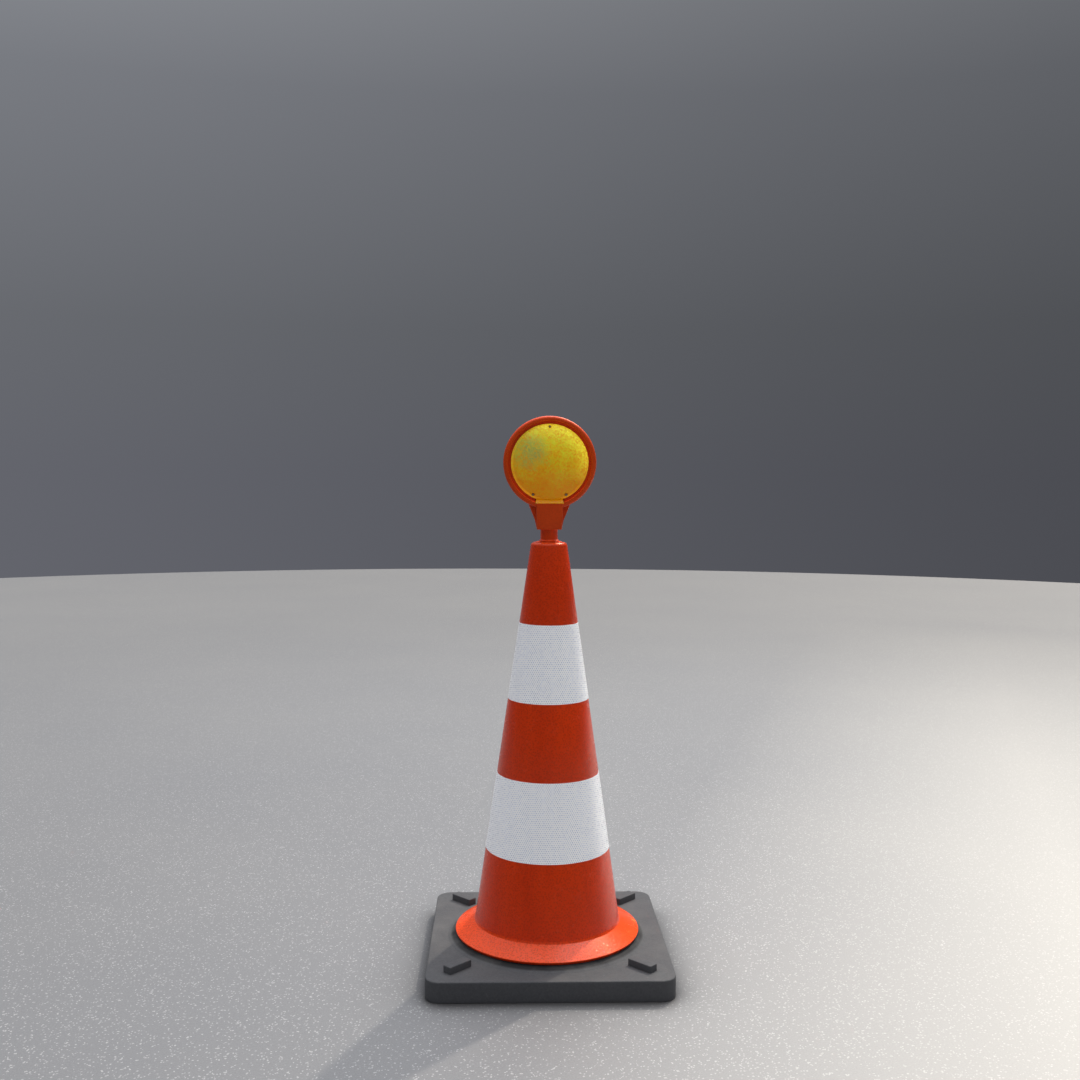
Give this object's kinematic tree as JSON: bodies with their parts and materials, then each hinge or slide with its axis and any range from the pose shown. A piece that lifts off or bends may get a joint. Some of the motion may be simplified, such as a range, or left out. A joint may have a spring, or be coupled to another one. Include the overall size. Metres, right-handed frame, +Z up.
{
  "type": "barricade warning light",
  "caption": "Round two-way amber warning lamp on a battery stem, standing in a banded orange traffic cone with a square rubber ballast base.",
  "frame": {"origin": "centre of the ballast base's underside, on the floor", "axes": "+Z up along the cone and the stem; the front lens looks along -Y; +X is to the right of someone facing the front lens"},
  "size_m": [0.56, 0.56, 1.299],
  "materials": {
    "ballast_rubber": "moulded recycled rubber, matt",
    "cone_orange": "satin fluorescent orange polyethylene",
    "retroreflective_white": "prismatic sheeting",
    "lamp_orange": "satin polypropylene",
    "cell_jacket": "printed steel jacket",
    "contact_brass": "stamped",
    "plated_spring": "nickel plated",
    "black_plastic": "satin",
    "seal_rubber": "moulded",
    "amber_lens": "clear amber with prisms",
    "reflector_white": "gloss",
    "led_amber": "gloss",
    "screw_steel": "zinc plated",
    "board_green": "solder mask",
    "photocell_resin": "gloss",
    "wire_red": "gloss",
    "wire_black": "gloss",
    "wire_yellow": "gloss"
  },
  "bodies": {
    "stand": {"base_plate": "ballast_rubber", "cone_body": "cone_orange", "upper_reflective_sleeve": "retroreflective_white", "lower_reflective_sleeve": "retroreflective_white"},
    "bush": {"stem_bush": "lamp_orange"},
    "lamp": {"stem_tube": "lamp_orange", "cell_upper": "cell_jacket", "cell_lower": "cell_jacket", "top_contact": "contact_brass", "front_housing": "lamp_orange", "front_lens": "amber_lens", "front_lens_seal": "seal_rubber", "front_reflector": "reflector_white", "front_led": "led_amber", "front_lens_screw_1": "screw_steel", "front_lens_screw_2": "screw_steel", "front_lens_screw_3": "screw_steel", "rear_housing": "lamp_orange", "rear_lens": "amber_lens", "rear_lens_seal": "seal_rubber", "rear_reflector": "reflector_white", "rear_led": "led_amber", "rear_lens_screw_1": "screw_steel", "rear_lens_screw_2": "screw_steel", "rear_lens_screw_3": "screw_steel", "housing_screw_1": "screw_steel", "housing_screw_2": "screw_steel", "housing_screw_3": "screw_steel", "housing_screw_4": "screw_steel", "housing_screw_5": "screw_steel", "housing_screw_6": "screw_steel", "led_board": "board_green", "photocell": "photocell_resin", "switch_body": "black_plastic", "battery_wire": "wire_red", "return_wire": "wire_black", "switch_wire": "wire_yellow"},
    "button": {"switch_button": "seal_rubber"},
    "cap_thread": {"cap_seal": "seal_rubber"},
    "cap": {"battery_cap": "black_plastic", "contact_spring": "plated_spring"}
  },
  "joints": [
    {"name": "lamp_lift", "type": "slide", "parent": "stand", "child": "bush", "axis": [0, 0, 1], "range_m": [0, 0.18]},
    {"name": "lamp_swivel", "type": "hinge", "parent": "bush", "child": "lamp", "pos_m": [0, 0, 1], "axis": [0, 0, 1], "continuous": true},
    {"name": "switch_press", "type": "slide", "parent": "lamp", "child": "button", "axis": [0, -1, 0], "range_m": [0, 0.0025], "stiffness_N_per_m": 1000},
    {"name": "cap_travel", "type": "slide", "parent": "lamp", "child": "cap_thread", "axis": [0, 0, -1], "range_m": [0, 0.024]},
    {"name": "cap_turn", "type": "hinge", "parent": "cap_thread", "child": "cap", "pos_m": [0, 0, 0.86], "axis": [0, 0, -1], "range_deg": [0, 1440]}
  ],
  "couplings": [
    {"joint": "cap_turn", "follows": "cap_travel", "rad_per_m": 1047.2}
  ]
}
